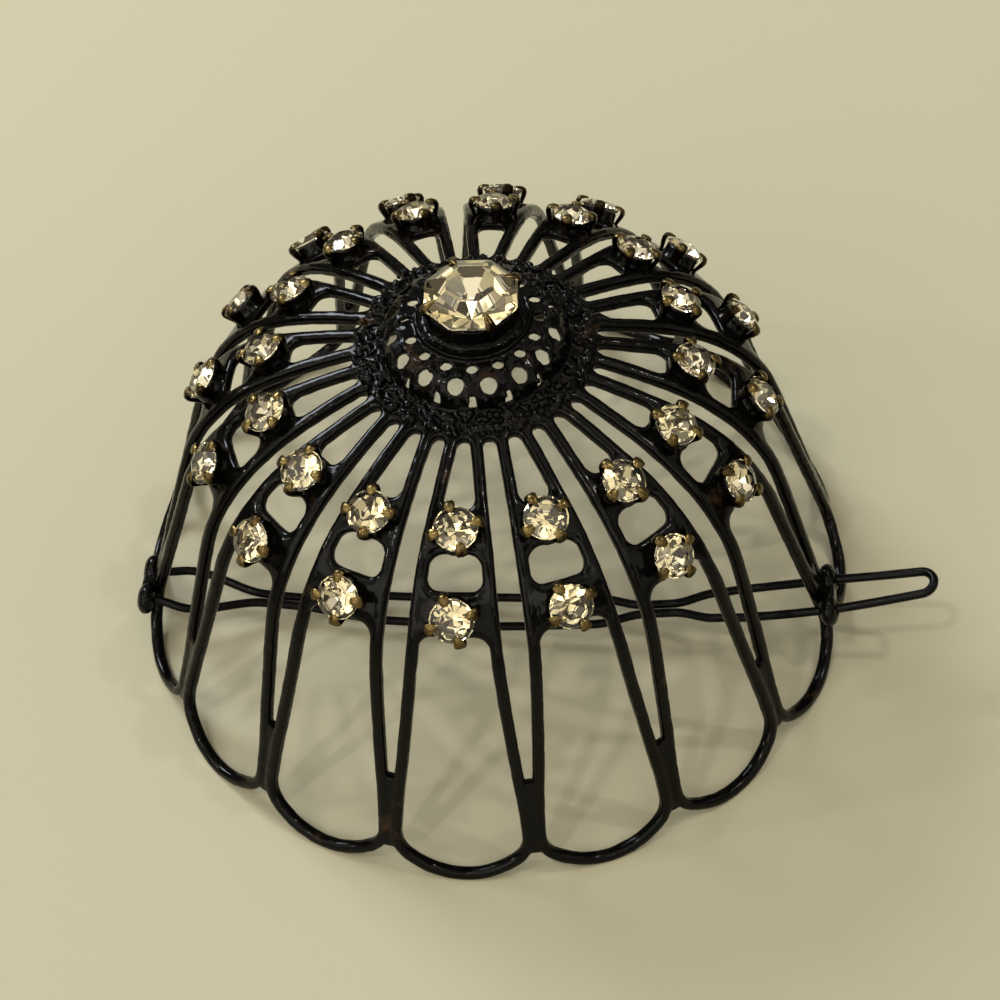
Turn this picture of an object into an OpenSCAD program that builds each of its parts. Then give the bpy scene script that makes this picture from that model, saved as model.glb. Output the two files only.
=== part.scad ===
// Bun cage: an openwork metal dome of sixteen looped petals under a pierced rosette, set with one
// large and thirty-two small cut stones, and held on by a two-legged wire pin through double eyes.
// Millimetres. +Z is up, the origin is the middle of the rim's plane, -Y is the front petal.

/* [Dome] */
// Radius over the outer face at the foot of the rim
rim_r = 39; // [37:0.5:42]
// Height at which the crown's curve meets the axis
dome_h = 38; // [36:0.5:40]
// Radius of the gentle curve across the crown
crown_r = 59; // [52:1:70]
// Radius of the shoulder, where the crown turns down
shoulder_r = 18.5; // [16:0.5:21]
// Slope of the straight skirt
wall_angle = 71; // [69:0.5:74]
// Thickness of the metal
metal_t = 1.3; // [1.1:0.05:1.6]

/* [Petals] */
// Width of a petal's bars
bar_w = 1.3; // [1.1:0.05:1.5]
// Height of the arc that closes a petal at the rim
rim_bar = 1.25; // [1:0.05:1.6]
// Radius of a petal's arc along the rim
scallop_r = 10.2; // [9:0.1:12]
// Width of the flat that each arc rests on
foot_w = 2; // [1.2:0.1:3]
// Widest half of the slot between two petals
slot_half = 1.15; // [0.9:0.05:1.35]
// Radius in plan at which the slots and bars leave the rosette
bars_start_r = 12.1; // [11.5:0.1:13]
// Height of the crotch where two petals join above the rim
crotch_h = 11.8; // [10.5:0.1:14]
// Width of the metal where two petals run as one, at its narrowest
joint_w = 2.4; // [2:0.1:2.8]
// Height above the rim at which it is narrowest
joint_h = 4.7; // [4.2:0.1:5.5]
// Width of the opening inside a petal where it leaves the rosette
gap_w = 1.2; // [0.9:0.05:1.4]
// Length in plan of the plate under an inner setting
inner_web = 3.7; // [3.3:0.1:4.2]
// Length in plan of the plate under an outer setting
outer_web = 3.7; // [3.4:0.1:4]
// Radius of the corners in the petals' openings
corner_r = 0.8; // [0.4:0.05:1]
// Radius of the corners low in a petal's long opening
low_corner_r = 2.4; // [1.6:0.1:3]

/* [Rosette] */
// How far the rosette's flat top stands above the top of the crown
rosette_rise = 2.5; // [1.8:0.1:3.5]
// Radius in plan at which the rosette's skirt stands on the crown
rosette_r = 9.2; // [8.9:0.1:9.8]
// Radius of the ring of small holes
small_ring_r = 6.4; // [6.3:0.05:6.6]
// Diameter of a small hole
small_hole_d = 1.1; // [0.8:0.05:1.2]
// Radius of the ring of large holes
large_ring_r = 8.1; // [7.9:0.05:8.3]
// Diameter of a large hole
large_hole_d = 1.6; // [1.2:0.05:1.7]
// Thickness of its pierced sheet
sheet_t = 0.7; // [0.6:0.05:1]
// Turn of its pattern against the petals
rosette_turn = -7; // [-11:1:11]
// Width of the slits low on the skirt
slit_w = 0.8; // [0.5:0.05:1.1]
// Height of the slits low on the skirt
slit_h = 1.2; // [0.8:0.1:1.4]
// Diameter of the raised grains on the border
grain_d = 1; // [0.8:0.05:1.1]

/* [Centre stone] */
// Diameter of the centre stone at its girdle
main_d = 9.2; // [8.4:0.1:10]
// How far the middle of its girdle stands above the rosette's top
main_rise = 3.1; // [2.9:0.1:4.5]
// Height of its crown, girdle to table
main_crown = 1.5; // [1.2:0.1:1.8]
// Depth of its pavilion, girdle to culet
main_pavilion = 3.3; // [3:0.1:3.5]
// Thickness of its girdle
main_girdle = 0.3; // [0.2:0.05:0.4]
// Wall of its collar beyond the girdle
main_wall = 0.5; // [0.4:0.05:0.8]
// How far the collar's top stands below the girdle's middle
main_seat_h = 0.4; // [0.3:0.05:0.6]

/* [Small stones] */
// Diameter of a small stone at its girdle
stone_d = 4; // [3.6:0.1:4.3]
// Height of a small stone's girdle above the metal
stone_lift = 1.2; // [1.1:0.05:1.5]
// Height of its crown, girdle to table
stone_crown = 0.6; // [0.5:0.05:0.8]
// Depth of its pavilion, girdle to culet
stone_pavilion = 1.5; // [1.3:0.05:1.7]
// Thickness of its girdle
stone_girdle = 0.16; // [0.1:0.02:0.2]
// Radius in plan of the ring of inner stones
inner_ring_r = 20.9; // [20.5:0.1:21.3]
// Radius in plan of the ring of outer stones
outer_ring_r = 27.3; // [27:0.1:27.6]
// How far a small setting's cup stands out beyond the girdle
cup_wall = 0.2; // [0.15:0.05:0.4]
// Width of a small setting's prongs
prong_w = 0.9; // [0.7:0.05:1.1]
// Thickness of the prongs
prong_t = 0.4; // [0.3:0.05:0.5]
// How far the prongs reach in over a small stone
prong_reach = 0.6; // [0.4:0.05:0.7]
// Turn of the prongs about each stone
prong_turn = 22; // [0:1:90]
// Size of the centre stone's prongs against the small ones
main_prong_scale = 1.4; // [1.2:0.05:1.8]
// Turn of the prongs about the centre stone
main_prong_turn = 32; // [0:1:90]

/* [Pin] */
// Diameter of the pin's wire
wire_d = 0.95; // [0.8:0.05:1.1]
// Height of the eyes above the rim's plane, halfway between the two
pin_h = 5.6; // [5.2:0.1:6.5]
// How much higher the right eye stands than the left
pin_rise = 2.8; // [0:0.1:3]
// How far the pin bows down between its eyes
pin_bow = 4.2; // [2:0.1:4.5]
// Distance between the pin's legs at the eyes
leg_gap = 3.8; // [3.6:0.05:4.4]
// Distance between the legs at the two pinches
pinch_gap = 1.15; // [1.15:0.05:2]
// How far the closed end stands out beyond the eyes
pin_reach = 10.8; // [8:0.1:16]
// Radius of the turn at the closed end
tip_r = 1.4; // [0.8:0.05:1.5]

/* [Eyes] */
// Diameter of the hole in an eye
eye_bore_d = 1.6; // [1.5:0.05:1.9]
// Wall of an eye around its hole
eye_wall = 0.9; // [0.7:0.05:1.1]
// Thickness of the eye plate
eye_t = 1.5; // [1.3:0.1:2]
// Height of the plate between the two eyes
eye_waist = 2.2; // [1.8:0.1:2.8]
// How far the plate stands out from the bars
eye_out = 1.1; // [0.8:0.1:1.4]

/* [Hidden] */
petals = 16;
pitch = 360 / petals;
// Clearance between a stone and the metal that holds it
seat_gap = 0.06;
seat_drop = 2 * seat_gap;
// Overlap of a cutter past the face that it leaves
past = 1;
// Steps along a curve: the crown, the shoulder and a petal's arc
crown_steps = 2;
shoulder_steps = 6;
side_steps = 3;
arc_steps = 6;
corner_steps = 4;
// Seats of the crown and shoulder curves on the dome's section
crown_z = dome_h - crown_r;
wall_in = [-sin(wall_angle), -cos(wall_angle)];
wall_up = [-cos(wall_angle), sin(wall_angle)];
from_crown = [rim_r, -crown_z] + shoulder_r * wall_in;
along = from_crown * wall_up;
shoulder_up = -along + sqrt(along * along - from_crown * from_crown + pow(crown_r - shoulder_r, 2));
shoulder_c = [rim_r, 0] + shoulder_r * wall_in + shoulder_up * wall_up;
crown_end = atan2(shoulder_c[0], shoulder_c[1] - crown_z);
crown_end_r = crown_r * sin(crown_end);
wall_start_r = shoulder_c[0] + shoulder_r * sin(wall_angle);
wall_start_z = shoulder_c[1] + shoulder_r * cos(wall_angle);
// Columns: share of the way from the rosette to the crotch, share of the widest half slot
SLOT = [[0, 0.48], [0.26, 0.7], [0.49, 0.82], [0.61, 0.92], [0.77, 1], [0.85, 0.85], [0.95, 0.5], [1, 0.3]];
// The rosette round its collar. Columns: share of the way out to the skirt, share of the way down it
ROSETTE = [[0, -0.04], [0.05, 0.04], [0.09, -0.02], [0.13, -0.03], [0.17, 0.01], [0.55, 0.07], [0.78, 0.22],
    [0.92, 0.5], [1, 0.94]];
// Its under side, with the same columns, the way down counted from the sheet's thickness below the top
UNDER = [[0.05, -0.03], [0.5, 0.05], [0.7, 0.2], [0.78, 0.5], [0.84, 0.95]];
// The border's grains. Columns: share of the way from the skirt to the bars, turn in petals, share of a grain
GRAINS = [[0.31, 0, 1], [0.69, 0.25, 1.15]];
// The pin's legs. Columns: place from the left eye (0) to the right (1), opening (0 pinched, 1 at the eyes)
LEGS = [[-0.02, 1], [0.012, 1], [0.06, 1.45], [0.175, 0], [0.215, 0], [0.36, 0.8], [0.52, 1], [0.66, 0.85],
    [0.735, 0.01], [0.775, 0.01], [0.84, 0.8], [0.885, 0.96], [0.93, 1], [1.01, 1]];
leg_steps = 4;
wire_sides = 10;
tip_steps = 8;
stone_sides = 8;
// A cut stone's rings: the table, and the points of the kites with their share of the crown's height
table_share = 0.54;
kite_share = 0.77;
kite_rise = 0.62;
// The joints between petals that carry the eyes, and each eye's place across and up: -1 left, 1 right
eye_joint = petals / 4 - 0.5;
joint_angle = eye_joint * pitch;
pin_y = -section_r(pin_h) * cos(joint_angle);
eye_r = eye_bore_d / 2 + eye_wall;
function eye_z(side) = pin_h + side * pin_rise / 2;
function eye_x(side) = side * (section_r(eye_z(side)) * sin(joint_angle) + eye_out - eye_t / 2);
// The arc that the pin lies on, through both eyes
eye_span = [eye_x(1) - eye_x(-1), pin_rise];
pin_lean = atan2(eye_span[1], eye_span[0]);
pin_half = norm(eye_span) / 2;
pin_arc_r = (pin_half * pin_half + pin_bow * pin_bow) / (2 * pin_bow);
pin_c = [(eye_x(1) + eye_x(-1)) / 2, pin_h] + (pin_arc_r - pin_bow) * [-sin(pin_lean), cos(pin_lean)];
pin_turn = asin(pin_half / pin_arc_r);
function eye_lean(side) = pin_lean + side * pin_turn;

// Height of the dome's outer face at a radius in plan, and the radius at a height
function section_z(r) =
    r < crown_end_r ? crown_z + sqrt(crown_r * crown_r - r * r)
    : r < wall_start_r ? shoulder_c[1] + sqrt(shoulder_r * shoulder_r - pow(r - shoulder_c[0], 2))
    : (rim_r - r) * tan(wall_angle);
function section_r(z) =
    z < wall_start_z ? rim_r - z / tan(wall_angle)
    : z < section_z(crown_end_r) ? shoulder_c[0] + sqrt(shoulder_r * shoulder_r - pow(z - shoulder_c[1], 2))
    : sqrt(crown_r * crown_r - pow(z - crown_z, 2));
function section_slope(r) =
    r < crown_end_r ? asin(r / crown_r)
    : r < wall_start_r ? asin((r - shoulder_c[0]) / shoulder_r)
    : wall_angle;

function along_arc(c, r, a, b, steps) =
    [for (i = [0 : steps]) let (t = a + (b - a) * i / steps) [c[0] + r * sin(t), c[1] + r * cos(t)]];
function reversed(points) = [for (i = [len(points) - 1 : -1 : 0]) points[i]];
function mirrored(points) = concat(points, [for (p = reversed(points)) if (p[0] > 0) [-p[0], p[1]]]);

// Points round a corner, from an edge across at y to a side at x that leads up (r > 0) or down (r < 0)
function rounded(x, y, r) = [for (t = [0, 45, 90]) [x - abs(r) * (1 - sin(t)), y + r * (1 - cos(t))]];

// The dome's section from the rosette's skirt to the rim, a depth below the outer face
function dome_line(depth, start_r) = concat(
    along_arc([0, crown_z], crown_r - depth, asin(start_r / crown_r), crown_end, crown_steps),
    [for (i = [1 : shoulder_steps])
        let (t = crown_end + (wall_angle - crown_end) * i / shoulder_steps)
            shoulder_c + (shoulder_r - depth) * [sin(t), cos(t)]],
    [[rim_r - depth / sin(wall_angle), 0]]
);

// Radius of a cut stone's pavilion at a depth below the middle of its girdle
function pavilion_r(d, pavilion, girdle, depth) = d / 2 * (pavilion - depth) / (pavilion - girdle / 2);

// The centre stone's seat and collar, and the rosette's domed top and skirt round them
rosette_h = dome_h + rosette_rise;
main_girdle_h = rosette_h + main_rise;
collar_r = main_d / 2 + main_wall;
seat_top = main_girdle_h - main_seat_h;
seat_floor = main_girdle_h - main_pavilion - seat_drop;
rosette_drop = rosette_h - section_z(rosette_r);
function rosette_point(row, low) =
    [collar_r + row[0] * (rosette_r - collar_r), rosette_h - low - row[1] * rosette_drop];
function rosette_top() = concat(
    [[0, seat_floor], [pavilion_r(main_d, main_pavilion, main_girdle, main_seat_h - seat_drop), seat_top]],
    [[collar_r, seat_top]], [for (row = ROSETTE) rosette_point(row, 0)]
);
function rosette_under() = concat(
    [[0, seat_floor - metal_t], [collar_r - main_wall, seat_floor - metal_t]],
    [for (row = UNDER) rosette_point(row, sheet_t)]
);
border_w = bars_start_r - rosette_r;
crown_start_r = rosette_r + border_w / 6;
function cage_section() = concat(
    rosette_top(), dome_line(0, crown_start_r),
    reversed(dome_line(metal_t, crown_start_r)), reversed(rosette_under())
);

// Half the slot between two petals, and half the opening between a petal's bars
function slot_at(r) = lookup((r - bars_start_r) / (section_r(crotch_h) - bars_start_r), SLOT) * slot_half;
function open_half(r) = r * sin(pitch / 2) - slot_at(r) - bar_w;

module radial(k) {
    rotate(-90 + pitch * k) children();
}

// A cutter that runs straight out along X, with its outline in Y and Z
module outward(from, to) {
    translate([from, 0, 0]) rotate([90, 0, 90]) linear_extrude(to - from) children();
}

// A cutter that runs straight up through the crown, with its outline in plan
module upward(low) {
    translate([0, 0, low]) linear_extrude(rosette_h + past - low) rotate(-90) children();
}

// The opening between a petal's two bars above its inner setting
module petal_gap() {
    end_r = inner_ring_r - inner_web / 2;
    middle_r = (bars_start_r + end_r) / 2;
    polygon(mirrored(concat(
        rounded(gap_w / 2, bars_start_r - corner_r / 2, gap_w / 3), [[open_half(middle_r), middle_r]],
        reversed(rounded(open_half(end_r), end_r, -corner_r))
    )));
}

// The small opening between the inner and the outer setting
module petal_window() {
    low = inner_ring_r + inner_web / 2;
    high = outer_ring_r - outer_web / 2;
    polygon(mirrored(concat(
        rounded(open_half(low), low, corner_r), reversed(rounded(open_half(high), high, -corner_r))
    )));
}

// The long opening from the outer setting down to the arc at the rim
scallop_up = sqrt(scallop_r * scallop_r - foot_w * foot_w / 4);
module petal_arch() {
    top = section_z(outer_ring_r + outer_web / 2);
    side = section_r(joint_h) * sin(pitch / 2) - joint_w / 2;
    inner_r = scallop_r - rim_bar;
    lean = asin((side - low_corner_r) / (inner_r - low_corner_r));
    corner_c = [side - low_corner_r, scallop_up - (inner_r - low_corner_r) * cos(lean)];
    polygon(mirrored(concat(
        rounded(open_half(section_r(top)), top, -2 * corner_r),
        [for (i = [1 : side_steps]) let (z = top + (crotch_h - top) * i / side_steps)
            [open_half(section_r(z)), z]],
        along_arc(corner_c, low_corner_r, 90, 180 - lean, corner_steps),
        [for (i = [1 : arc_steps]) along_arc([0, scallop_up], inner_r, 180 - lean, 180, arc_steps)[i]]
    )));
}

// The slot between two petals, from the rosette to the crotch
module petal_slot() {
    far = section_r(crotch_h);
    polygon(mirrored(concat(
        rounded(slot_at(bars_start_r), bars_start_r - corner_r / 2, slot_half / 3),
        [for (row = SLOT) if (row[0] > 0) [row[1] * slot_half, bars_start_r + row[0] * (far - bars_start_r)]],
        [[slot_at(far) / 3, far + slot_at(far) / 3]]
    )));
}

// The notch under the rim where two petals' arcs meet
module rim_notch() {
    half = rim_r * sin(pitch / 2);
    reach = half - foot_w / 2;
    polygon(mirrored(concat(
        [[0, -past], [reach, -past]],
        [for (i = [0 : arc_steps]) let (y = reach * (1 - i / arc_steps))
            [y, scallop_up - sqrt(scallop_r * scallop_r - pow(half - y, 2))]]
    )));
}

// Stands a small setting or stone on the dome, its axis square to the metal
module on_dome(r) {
    translate([r, 0, section_z(r)]) rotate([0, section_slope(r), 0]) children();
}

module each_setting() {
    for (k = [0 : petals - 1])
        radial(k) {
            on_dome(inner_ring_r) children();
            on_dome(outer_ring_r) children();
        }
}

// The cup of a small setting, from the middle of the metal to just below the girdle
cup_depth = metal_t / 2;
cup_rim = stone_lift - stone_girdle / 2 - seat_drop;
module cup_body() {
    translate([0, 0, -cup_depth]) cylinder(r = stone_d / 2 + cup_wall, h = cup_depth + cup_rim, $fn = 48);
}

// The cone that leaves room for a small stone's pavilion
module cup_seat() {
    deep = stone_pavilion + seat_drop;
    wide = pavilion_r(stone_d, stone_pavilion, stone_girdle, -past - seat_drop);
    translate([0, 0, stone_lift - deep]) cylinder(r1 = 0, r2 = wide, h = deep + past, $fn = 48);
}

// One prong, from the middle of the girdle: a post outside it, bent in over the crown to a thinner tip
module prong(d, crown, girdle, foot, reach, width, thick) {
    inner = d / 2 + seat_gap;
    low = girdle / 2 + seat_gap;
    rise = kite_rise * crown * reach / ((1 - kite_share) * d / 2);
    rotate([90, 0, 0]) translate([0, 0, -width / 2]) linear_extrude(width) polygon([
        [inner, -foot], [inner, low], [d / 2 - reach, low + rise], [d / 2 - reach, low + rise + 0.7 * thick],
        [inner + 0.5 * thick, low + 0.9 * thick], [inner + thick, low], [inner + thick, -foot]
    ]);
}

module small_prongs() {
    for (q = [0 : 3])
        rotate(prong_turn + 90 * q) translate([0, 0, stone_lift])
            prong(stone_d, stone_crown, stone_girdle, stone_lift + seat_drop, prong_reach, prong_w, prong_t);
}

module main_prongs() {
    size = main_prong_scale;
    for (q = [0 : 3])
        rotate(main_prong_turn + 90 * q) translate([0, 0, main_girdle_h])
            prong(main_d, main_crown, main_girdle, 3 * main_seat_h,
                size * prong_reach, size * prong_w, size * prong_t);
}

// Raised grains on the rosette's border, in two staggered rings
module grains() {
    for (i = [0 : 2 * petals - 1], row = GRAINS)
        radial(i / 2 + row[1]) on_dome(rosette_r + row[0] * border_w) sphere(d = row[2] * grain_d, $fn = 24);
}

// The rosette's holes: large ones in line with the petals, small ones and slits between them
module large_hole() {
    translate([large_ring_r, 0, rosette_h - metal_t / 2]) rotate([0, 20, 0])
        cylinder(d = large_hole_d, h = 4 * metal_t, center = true, $fn = 24);
}

module small_hole() {
    translate([small_ring_r, 0, rosette_h - metal_t / 2])
        cylinder(d = small_hole_d, h = 3 * metal_t, center = true, $fn = 24);
}

module slit() {
    translate([rosette_r - slit_h / 4, 0, rosette_h - rosette_drop * 2 / 3]) rotate([0, 60, 0])
        cube([slit_h, slit_w, 4 * metal_t], center = true);
}

// A cut up through the crown starts this far below the stone that it is next to
cut_depth = 6;
module piercing() {
    for (k = [0 : petals - 1]) {
        radial(k) {
            upward(section_z(inner_ring_r) - cut_depth) petal_gap();
            upward(section_z(outer_ring_r) - cut_depth) petal_window();
            outward(wall_start_r - cut_depth, rim_r + past) petal_arch();
            rotate(rosette_turn) large_hole();
        }
        radial(k + 0.5) {
            upward(-past) petal_slot();
            outward(rim_r - cut_depth, rim_r + past) rim_notch();
            rotate(rosette_turn) {
                small_hole();
                slit();
            }
        }
    }
}

// Two eyes side by side on one plate, square to the pin
module eye_plate(side) {
    translate([eye_x(side), pin_y, eye_z(side)]) rotate([0, 90 - eye_lean(side), 0]) {
        for (leg = [-1, 1])
            translate([0, leg * leg_gap / 2, -eye_t / 2]) cylinder(r = eye_r, h = eye_t, $fn = 48);
        cube([eye_waist, leg_gap, eye_t], center = true);
    }
}

module eye_bores(side) {
    translate([eye_x(side), pin_y, eye_z(side)]) rotate([0, 90 - eye_lean(side), 0])
        for (leg = [-1, 1])
            translate([0, leg * leg_gap / 2, 0])
                cylinder(d = eye_bore_d, h = 6 * eye_t, center = true, $fn = 48);
}

module cage() {
    color([0.07, 0.06, 0.05]) {
        difference() {
            union() {
                difference() {
                    union() {
                        rotate_extrude($fn = 96) polygon(cage_section());
                        grains();
                    }
                    piercing();
                }
                each_setting() cup_body();
                for (side = [-1, 1]) eye_plate(side);
            }
            each_setting() cup_seat();
            for (side = [-1, 1]) eye_bores(side);
        }
        each_setting() small_prongs();
        main_prongs();
    }
}

// A cut stone: table, stars, kites and halves above the girdle, a facet to the culet for each side below
module cut_stone(d, crown, pavilion, girdle) {
    n = stone_sides;
    step = 360 / n;
    function ring(r, z, turn, count) =
        [for (i = [0 : count - 1]) let (a = turn + 360 / count * i) [r * cos(a), r * sin(a), z]];
    points = concat(
        ring(d / 2 * table_share, crown, 0, n), ring(d / 2 * kite_share, crown * kite_rise, step / 2, n),
        ring(d / 2, girdle / 2, 0, 2 * n), ring(d / 2, -girdle / 2, 0, 2 * n), [[0, 0, -pavilion]]
    );
    faces = concat(
        [[for (i = [n - 1 : -1 : 0]) i]],
        [for (i = [0 : n - 1]) [i, (i + 1) % n, n + i]],
        [for (i = [0 : n - 1]) [i, n + i, 2 * n + 2 * i]],
        [for (i = [0 : n - 1]) [i, 2 * n + 2 * i, n + (i + n - 1) % n]],
        [for (i = [0 : n - 1]) [n + i, 2 * n + 2 * i + 1, 2 * n + 2 * i]],
        [for (i = [0 : n - 1]) [n + i, 2 * n + (2 * i + 2) % (2 * n), 2 * n + 2 * i + 1]],
        [for (j = [0 : 2 * n - 1]) let (next = (j + 1) % (2 * n))
            [2 * n + j, 2 * n + next, 4 * n + next, 4 * n + j]],
        [for (j = [0 : 2 * n - 1]) [4 * n + j, 4 * n + (j + 1) % (2 * n), 6 * n]]
    );
    polyhedron(points, faces);
}

module small_stone() {
    color([0.93, 0.9, 0.8, 0.6])
        translate([0, 0, stone_lift]) cut_stone(stone_d, stone_crown, stone_pavilion, stone_girdle);
}

module centre_stone() {
    color([0.93, 0.9, 0.8, 0.6])
        translate([0, 0, main_girdle_h]) cut_stone(main_d, main_crown, main_pavilion, main_girdle);
}

// The pin laid straight: how open the legs are at a place, one leg's points, and both with the closed end.
// Columns: turn along the arc from its lowest point as seen between the eyes, distance from the middle line
function leg_open(u) = let (
        i = max([for (j = [0 : len(LEGS) - 2]) if (LEGS[j][0] <= u) j]),
        f = (u - LEGS[i][0]) / (LEGS[i + 1][0] - LEGS[i][0]),
        blend = (1 - cos(180 * f)) / 2
    ) LEGS[i][1] + (LEGS[i + 1][1] - LEGS[i][1]) * blend;
function leg_point(u) = [(2 * u - 1) * pin_turn, (pinch_gap + (leg_gap - pinch_gap) * leg_open(u)) / 2];
function leg() = concat(
    [for (i = [0 : len(LEGS) - 2], s = [0 : leg_steps - 1])
        leg_point(LEGS[i][0] + (LEGS[i + 1][0] - LEGS[i][0]) * s / leg_steps)],
    [leg_point(LEGS[len(LEGS) - 1][0])]
);
function arc_turn(length) = length / (pin_arc_r * PI) * 180;
tip_turn = pin_turn + arc_turn(eye_t / 2 + pin_reach - tip_r - wire_d / 2);
function closed_end() = [for (p = along_arc([0, 0], tip_r, 0, 180, tip_steps)) [tip_turn + arc_turn(p[0]), p[1]]];
function pin_line() = concat(leg(), closed_end(), [for (p = reversed(leg())) [p[0], -p[1]]]);

// A place on the laid out pin brought onto its arc
function on_pin(p) = let (a = pin_lean + p[0])
    [pin_c[0] + pin_arc_r * sin(a), pin_y + p[1], pin_c[1] - pin_arc_r * cos(a)];

// A round wire of flat facets along a line that is nowhere upright
module wire(line, d, sides) {
    last = len(line) - 1;
    function heading(i) = let (v = line[min(i + 1, last)] - line[max(i - 1, 0)]) v / norm(v);
    points = [for (i = [0 : last], s = [0 : sides - 1])
        let (h = heading(i), flat = cross([0, 0, 1], h), side = flat / norm(flat), a = 360 * (s + 0.5) / sides)
            line[i] + (side * cos(a) + cross(h, side) * sin(a)) * d / 2];
    faces = concat(
        [[for (s = [0 : sides - 1]) s]],
        [for (i = [0 : last - 1], s = [0 : sides - 1]) let (a = i * sides, b = a + sides, t = (s + 1) % sides)
            [a + s, b + s, b + t, a + t]],
        [[for (s = [sides - 1 : -1 : 0]) last * sides + s]]
    );
    polyhedron(points, faces);
}

module pin() {
    color([0.1, 0.09, 0.08]) wire([for (p = pin_line()) on_pin(p)], wire_d, wire_sides);
}

cage();
centre_stone();
for (i = [1 : petals]) {
    radial(i - 1) on_dome(inner_ring_r) small_stone();
    radial(i - 1) on_dome(outer_ring_r) small_stone();
}
pin();
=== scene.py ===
import bpy
import random
from math import sin, cos, tan, asin, acos, atan2, sqrt, pi, radians, hypot
from mathutils import Matrix, Vector


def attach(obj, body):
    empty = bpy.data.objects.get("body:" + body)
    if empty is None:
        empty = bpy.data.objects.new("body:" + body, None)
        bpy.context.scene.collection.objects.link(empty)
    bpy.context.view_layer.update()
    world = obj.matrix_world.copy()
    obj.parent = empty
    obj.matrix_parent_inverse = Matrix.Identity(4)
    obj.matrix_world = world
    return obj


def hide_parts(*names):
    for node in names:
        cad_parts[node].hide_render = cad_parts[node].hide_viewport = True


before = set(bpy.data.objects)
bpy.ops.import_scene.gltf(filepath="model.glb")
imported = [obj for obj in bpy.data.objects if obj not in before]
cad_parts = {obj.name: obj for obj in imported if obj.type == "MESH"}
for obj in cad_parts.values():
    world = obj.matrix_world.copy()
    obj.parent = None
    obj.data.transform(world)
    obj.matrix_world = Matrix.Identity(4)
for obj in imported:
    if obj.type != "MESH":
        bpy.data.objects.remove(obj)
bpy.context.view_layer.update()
bpy.ops.object.select_all(action="DESELECT")
print("frame loaded:", len(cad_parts), "nodes")

# Pieces are modelled in millimetres and brought to metres when they are finished
mm = 0.001
oneCorner = 0.0005  # corners nearer than this are merged
creases = {"bars": radians(55), "cups": radians(50), "prongs": radians(70), "pin": radians(60)}

# The dome that everything stands on, as the CAD has it: a crown, a shoulder and a straight wall
dome = {
    "rimRadius": 39.0,
    "height": 38.0,
    "crownRadius": 59.0,
    "shoulderRadius": 18.5,
    "wallAngle": radians(71),
    "metal": 1.3,
    "barWidth": 1.3,  # the CAD's, the finished bars are a little slimmer
    "petals": 16,
    "innerRing": 20.9,  # where the two settings of a petal stand
    "outerRing": 27.3,
}
step = 2 * pi / dome["petals"]
crownZ = dome["height"] - dome["crownRadius"]
wallIn = Vector((-sin(dome["wallAngle"]), -cos(dome["wallAngle"])))
wallUp = Vector((-cos(dome["wallAngle"]), sin(dome["wallAngle"])))
fromCrown = Vector((dome["rimRadius"], -crownZ)) + dome["shoulderRadius"] * wallIn
alongWall = fromCrown.dot(wallUp)
crownLess = dome["crownRadius"] - dome["shoulderRadius"]
shoulderUp = -alongWall + sqrt(alongWall ** 2 - fromCrown.dot(fromCrown) + crownLess ** 2)
shoulder = Vector((dome["rimRadius"], 0)) + dome["shoulderRadius"] * wallIn + shoulderUp * wallUp
crownEnd = atan2(shoulder.x, shoulder.y - crownZ)
crownEndRadius = dome["crownRadius"] * sin(crownEnd)
wallStartRadius = shoulder.x + dome["shoulderRadius"] * sin(dome["wallAngle"])
wallStartZ = shoulder.y + dome["shoulderRadius"] * cos(dome["wallAngle"])


def petalTurn(k):  # the first petal points to the front
    return -pi / 2 + step * k


def domeHeight(r):
    if r < crownEndRadius:
        return crownZ + sqrt(dome["crownRadius"] ** 2 - r * r)
    if r < wallStartRadius:
        return shoulder.y + sqrt(dome["shoulderRadius"] ** 2 - (r - shoulder.x) ** 2)
    return (dome["rimRadius"] - r) * tan(dome["wallAngle"])


def domeRadius(z):
    if z < wallStartZ:
        return dome["rimRadius"] - z / tan(dome["wallAngle"])
    return shoulder.x + sqrt(dome["shoulderRadius"] ** 2 - (z - shoulder.y) ** 2)


def domeSlope(r):
    if r < crownEndRadius:
        return asin(r / dome["crownRadius"])
    if r < wallStartRadius:
        return asin((r - shoulder.x) / dome["shoulderRadius"])
    return dome["wallAngle"]


def domePoint(turn, r, depth=0.0, z=None):  # a point on the dome, or a depth below its outer face
    if z is None:
        z = domeHeight(r)
    slope = domeSlope(r)
    away = r - depth * sin(slope)
    return Vector((away * cos(turn), away * sin(turn), z - depth * cos(slope)))


def domeNormal(turn, r):
    slope = domeSlope(r)
    return Vector((sin(slope) * cos(turn), sin(slope) * sin(turn), cos(slope)))


def downDome(r, way):  # plan radius after a way down over the dome, or up if it is negative
    pieces = 12
    for i in range(pieces):
        r += cos(domeSlope(r)) * way / pieces
    return r


def onDome(turn, r, lift=0.0):  # a frame that stands square on the dome
    upright = Matrix.Rotation(turn, 4, "Z") @ Matrix.Translation((r, 0, domeHeight(r)))
    return upright @ Matrix.Rotation(domeSlope(r), 4, "Y") @ Matrix.Translation((0, 0, lift))


# Small tools for shaping

def meshFrom(name, points, faces):
    mesh = bpy.data.meshes.new(name)
    mesh.from_pydata([tuple(p) for p in points], [], faces)
    mesh.update()
    obj = bpy.data.objects.new(name, mesh)
    bpy.context.collection.objects.link(obj)
    return obj


def pick(*objects):
    if bpy.context.mode != "OBJECT":
        bpy.ops.object.mode_set(mode="OBJECT")
    bpy.ops.object.select_all(action="DESELECT")
    for obj in objects:
        obj.select_set(True)
    bpy.context.view_layer.objects.active = objects[0]
    return objects[0]


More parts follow.
